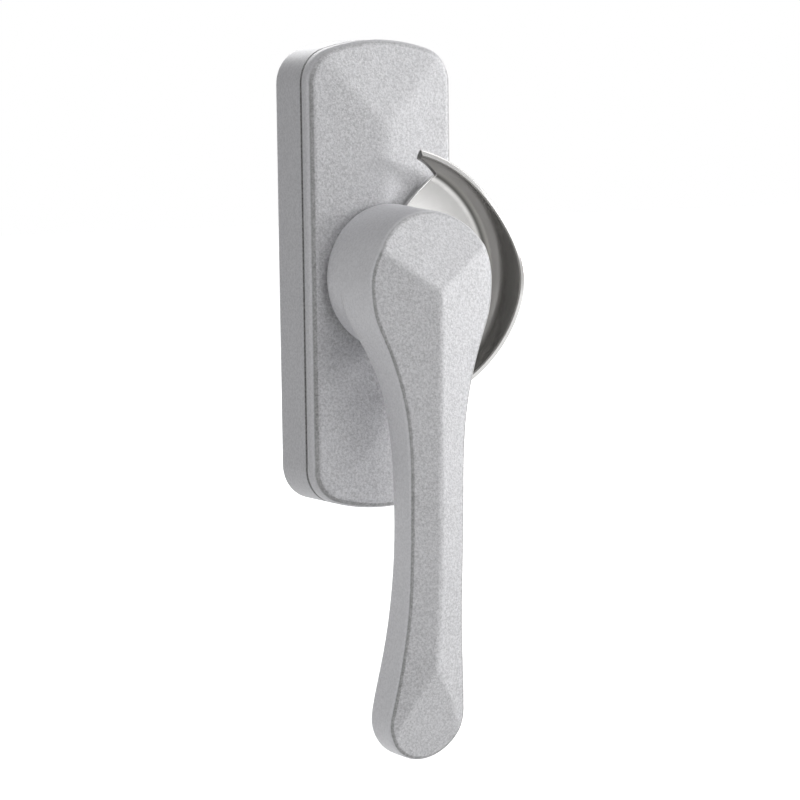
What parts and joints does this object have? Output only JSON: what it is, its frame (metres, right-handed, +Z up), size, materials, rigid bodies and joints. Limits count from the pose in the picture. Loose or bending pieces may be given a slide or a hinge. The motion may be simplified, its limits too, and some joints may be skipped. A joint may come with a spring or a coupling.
{
  "type": "crescent lock",
  "caption": "Sliding patio door lock with a tall faceted case, a down-turned lever and a pressed crescent that swings out to pull in a keeper.",
  "frame": {"origin": "on the back mounting face, on the axis that the lever turns about, midway between the two mounting holes", "axes": "+X right and +Z up as seen from the room, +Y from the room into the door stile; drawn locked, lever down and crescent to the right"},
  "size_m": [0.0374, 0.0297, 0.1221],
  "materials": {
    "silver_paint": "silver grey powder coat with a fine sand texture on the front facets and smoother sides",
    "polished_steel": "bright polished sheet with fine drawing marks",
    "zinc_steel": "bright zinc plate, slightly cloudy",
    "spring_steel": "blue-grey rolled spring strip",
    "white_acetal": "off-white moulded plastic, waxy",
    "black_rubber": "matt black sleeve"
  },
  "bodies": {
    "base": {"base_case": "silver_paint", "front_cover": "silver_paint", "cover_screws": "zinc_steel", "rear_bush": "white_acetal", "front_bush": "white_acetal", "stop_pin": "zinc_steel", "stop_sleeve": "black_rubber", "left_spring": "spring_steel", "right_spring": "spring_steel"},
    "handle": {"handle_lever": "silver_paint", "crescent_cam": "polished_steel", "crescent_screws": "zinc_steel", "spindle": "zinc_steel", "stop_disc": "zinc_steel", "detent_cam": "zinc_steel", "dished_washer": "spring_steel", "slip_washer": "white_acetal", "end_washer": "zinc_steel", "retaining_screw": "zinc_steel"}
  },
  "joints": [
    {"name": "handle_turn", "type": "hinge", "parent": "base", "child": "handle", "pos_m": [0, 0, 0], "axis": [0, 1, 0], "range_deg": [0, 180], "deforming": ["left_spring", "right_spring"]}
  ]
}
